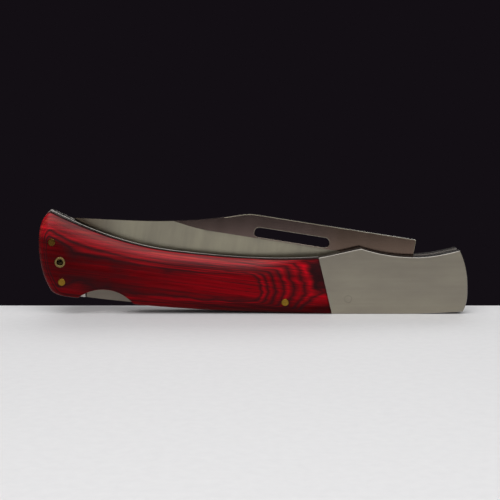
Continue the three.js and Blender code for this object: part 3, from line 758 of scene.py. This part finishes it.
brass = brass_finish("brass", dark=(0.26, 0.145, 0.018), light=(0.37, 0.215, 0.030))
darker_brass = brass_finish(
    "darker brass", dark=(0.115, 0.058, 0.011), light=(0.165, 0.090, 0.017)
)
tube_brass = brass_finish("tube brass", dark=(0.20, 0.140, 0.050), light=(0.34, 0.250, 0.100))
brass_parts = {
    "butt_pin_upper": darker_brass,
    "butt_pin_lower": brass,
    "lock_bar_pin": brass,
    "lanyard_tube": tube_brass,
}
for node, finish in brass_parts.items():
    pin = worked_copy(node, f"brass_{node}")
    break_edges(pin, width=0.16 * mm, segments=3)
    polish(pin)
    pin.data.materials.append(finish)
    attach(pin, "handle")
    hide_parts(node)


# Blade. Stainless flat bar, milled through for the slot, hollow ground on a wheel and polished
# across. The flats keep a dark satin, painted brighter and bluer towards the tip as a painted
# reflection, and the grind is paler and coarser, painted darker towards the tip as a painted
# reflection. The spine is broken, and its steel is a painted highlight: bright near the heel and
# fading dark towards the hump of the back.
hump = Vector((-1.07 * mm, 0, 41.15 * mm))
spine_slope = math.radians(9)
down_the_blade = Vector((-math.sin(spine_slope), 0, -math.cos(spine_slope)))
slot_foot = 9.53 * mm
spine_depth = 0.8 * mm
heel_x = 37 * mm
break_start = -12 * mm
blade_break = 0.26 * mm
near_flat = 1.45 * mm
square_on = 0.99999
least_square = 0.95


def below_spine(place):
    """How far a place lies below the straight line of the spine."""
    return (place - hump).dot(down_the_blade)


def in_slot_strip(place):
    """The narrow strip between the slot and the grind, which the wheel has touched too."""
    return place.x < heel_x and below_spine(place) > slot_foot


def score(piece, place, direction, chosen):
    """Draws an edge across flat faces that are chosen, so that they can part in material."""
    select_only(piece)
    bpy.ops.object.mode_set(mode="EDIT")
    bpy.ops.mesh.select_mode(type="FACE")
    bpy.ops.mesh.select_all(action="DESELECT")
    bpy.ops.object.mode_set(mode="OBJECT")
    for face in piece.data.polygons:
        face.select = abs(face.normal.y) > square_on and chosen(face.center)
    bpy.ops.object.mode_set(mode="EDIT")
    bpy.ops.mesh.bisect(plane_co=place, plane_no=direction)
    bpy.ops.object.mode_set(mode="OBJECT")


def part_the_grind(piece):
    """Gives the second material to the faces that the wheel has ground, with a crisp line where
    they begin, and the third to the spine. The flats lie square, and the rounded edges lean far
    more than the grind."""
    ground = {}
    for face in piece.data.polygons:
        square = abs(face.normal.y)
        strip = square > square_on and in_slot_strip(face.center)
        by_wheel = strip or least_square < square < square_on
        on_spine = square < least_square and below_spine(face.center) < spine_depth
        face.material_index = 1 if by_wheel else 2 if on_spine else 0
        for pair in face.edge_keys:
            ground.setdefault(pair, set()).add(by_wheel)
    for edge in piece.data.edges:
        if len(ground.get(edge.key, ())) > 1:
            edge.use_edge_sharp = True


blade_flat_steel = ground_steel(
    "blade flat steel",
    light=(0.225, 0.157, 0.122),
    dark=(0.177, 0.124, 0.095),
    smooth=0.14,
    rough=0.22,
    turn=-9,
    lines=(3600, 2400, 60),
    depth=0.002 * mm,
    # Painted reflection: brighter and bluer towards the tip, from x = 36 mm to x = 21 mm.
    fade=(21 * mm, 36 * mm, (1.40, 1.44, 1.64)),
)
blade_ground_steel = ground_steel(
    "blade ground steel",
    light=(0.385, 0.358, 0.262),
    dark=(0.250, 0.228, 0.180),
    smooth=0.24,
    rough=0.36,
    turn=-9,
    lines=(3000, 2400, 60),
    depth=0.004 * mm,
    # Painted reflection: darker and redder towards the tip, from x = -55 mm to x = -70 mm.
    fade=(-70 * mm, -55 * mm, (0.44, 0.38, 0.38)),
)
# Painted highlight: bright near the heel, fading to a fifth from x = 56 mm to x = 26 mm.
spine_highlight_steel = ground_steel(
    "blade spine highlight steel",
    light=(0.80, 0.77, 0.72),
    dark=(0.70, 0.67, 0.62),
    smooth=0.14,
    rough=0.22,
    turn=-9,
    lines=(60, 2400, 2400),
    depth=0.001 * mm,
    fade=(26 * mm, 56 * mm, (0.20, 0.16, 0.14)),
)
blade = worked_copy("blade", "blade_ground")
break_edges(
    blade,
    width=blade_break,
    segments=3,
    sharpness=60,
    chosen=lambda middle: abs(middle.y) > near_flat and middle.x > break_start,
)
score(blade, hump + down_the_blade * slot_foot, down_the_blade, lambda centre: True)
score(blade, (heel_x, 0, 0), (1, 0, 0), lambda centre: below_spine(centre) > slot_foot)
for steel in (blade_flat_steel, blade_ground_steel, spine_highlight_steel):
    blade.data.materials.append(steel)
polish(blade, crisp=part_the_grind)
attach(blade, "blade")
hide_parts("blade")


# Lock bar. A steel rocker on the middle pin: its hook holds the tang, and its back is part of the
# back of the handle. The sides are ground flat, and the back has the same finish.
bar_steel = ground_steel(
    "lock bar steel",
    light=(0.255, 0.222, 0.182),
    dark=(0.185, 0.162, 0.133),
    smooth=0.28,
    rough=0.44,
    turn=0,
    lines=(80, 2400, 2800),
    depth=0.004 * mm,
)
lock_bar = worked_copy("lock_bar", "lock_bar_rocker")
break_edges(lock_bar, width=0.25 * mm, segments=3)
polish(lock_bar)
lock_bar.data.materials.append(bar_steel)
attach(lock_bar, "lock_bar")
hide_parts("lock_bar")


# Leaf spring. A strip of tempered spring steel, blue-grey from the heat. One end is pressed into
# the spacer's slot, and the other bears on the lock bar.
spring_steel = ground_steel(
    "spring steel",
    light=(0.36, 0.37, 0.40),
    dark=(0.24, 0.24, 0.27),
    smooth=0.24,
    rough=0.38,
    turn=0,
    lines=(90, 2600, 2600),
    depth=0.003 * mm,
)
leaf = worked_copy("back_spring", "leaf_spring_strip")
break_edges(leaf, width=0.10 * mm)
polish(leaf)
leaf.data.materials.append(spring_steel)
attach(leaf, "spring")
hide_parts("back_spring")


# Table, lamps and camera. The knife stands on a pale table that falls away close behind it, just
# steeply enough to leave the picture. The room is dark, with a wide soft lamp above and in front
# and a weaker one behind.
table_width, table_depth, table_thickness = 1.3, 0.27, 0.03
table_rear = 0.014
fall_depth = 0.60
fall_slope = math.radians(10.5)
bpy.ops.object.select_all(action="DESELECT")
bpy.ops.mesh.primitive_cube_add(size=1, location=(0, 0, 0))
table = bpy.context.active_object
table.name = "table"
bpy.ops.transform.resize(value=(table_width, table_depth, table_thickness))
bpy.ops.transform.translate(value=(0, table_rear - table_depth / 2, -table_thickness / 2))
bpy.ops.object.transform_apply(location=True, rotation=True, scale=True)
bpy.ops.object.mode_set(mode="EDIT")
bpy.ops.mesh.select_mode(type="FACE")
bpy.ops.mesh.select_all(action="DESELECT")
bpy.ops.object.mode_set(mode="OBJECT")
for face in table.data.polygons:
    face.select = face.normal.y > 0.9
bpy.ops.object.mode_set(mode="EDIT")
bpy.ops.mesh.extrude_region_move(
    TRANSFORM_OT_translate={"value": (0, fall_depth, -fall_depth * math.tan(fall_slope))}
)
bpy.ops.object.mode_set(mode="OBJECT")
break_edges(table, width=3 * mm, segments=4)
polish(table, angle=9)
table_paint, table_shader = new_material("table paint", Roughness=0.6)
speckle = pattern(table_paint, 0, (300, 300, 300), detail=3.0)
table_colour = mixed(table_paint, speckle, (0.625, 0.620, 0.625), (0.695, 0.690, 0.690))
table_paint.node_tree.links.new(table_colour, table_shader.inputs["Base Color"])
table.data.materials.append(table_paint)

room = bpy.data.worlds.new("room")
room.use_nodes = True
bpy.context.scene.world = room
rays = room.node_tree.nodes.new("ShaderNodeLightPath").outputs
looking = rays["Is Camera Ray"]
for ray in ("Is Glossy Ray", "Is Transmission Ray"):
    looking = add_node(room, "ShaderNodeMath", 0, {0: looking, 1: rays[ray]}, operation="MAXIMUM")
walls_as_light, walls_as_seen = (0.30, 0.30, 0.31), (0.0065, 0.0048, 0.0070)
walls = mixed(room, looking, walls_as_light, walls_as_seen)
room.node_tree.links.new(walls, room.node_tree.nodes["Background"].inputs["Color"])


def soft_lamp(name, place, aim, width, depth, power):
    """A lamp the size of a window, turned to shine on a place."""
    lamp = bpy.data.lights.new(name, "AREA")
    lamp.shape = "RECTANGLE"
    lamp.size = width
    lamp.size_y = depth
    lamp.energy = power
    hung = bpy.data.objects.new(name, lamp)
    hung.location = place
    hung.rotation_euler = (Vector(aim) - Vector(place)).to_track_quat("-Z", "Y").to_euler()
    bpy.context.scene.collection.objects.link(hung)


soft_lamp("lamp above", (0, -0.50, 0.72), aim=(0, -0.06, 0.02), width=1.3, depth=1.0, power=9.1)
soft_lamp("lamp behind", (0, 0.85, 0.72), aim=(0, 0, 0.02), width=1.4, depth=0.5, power=3.8)

focal_pixels, photo_pixels = 1251, 500
look_down = math.radians(7)
looked_at = Vector((-1.24 * mm, -7 * mm, 26.8 * mm))
camera_distance = 517 * mm
camera = bpy.data.cameras.new("camera")
camera.sensor_width = 36
camera.lens = camera.sensor_width * focal_pixels / photo_pixels
camera.clip_start = 10 * mm
viewer = bpy.data.objects.new("camera", camera)
viewer.location = looked_at + camera_distance * Vector(
    (0, -math.cos(look_down), math.sin(look_down))
)
viewer.rotation_euler = (math.radians(90) - look_down, 0, 0)
bpy.context.scene.collection.objects.link(viewer)
bpy.context.scene.camera = viewer
bpy.context.scene.view_settings.view_transform = "Standard"
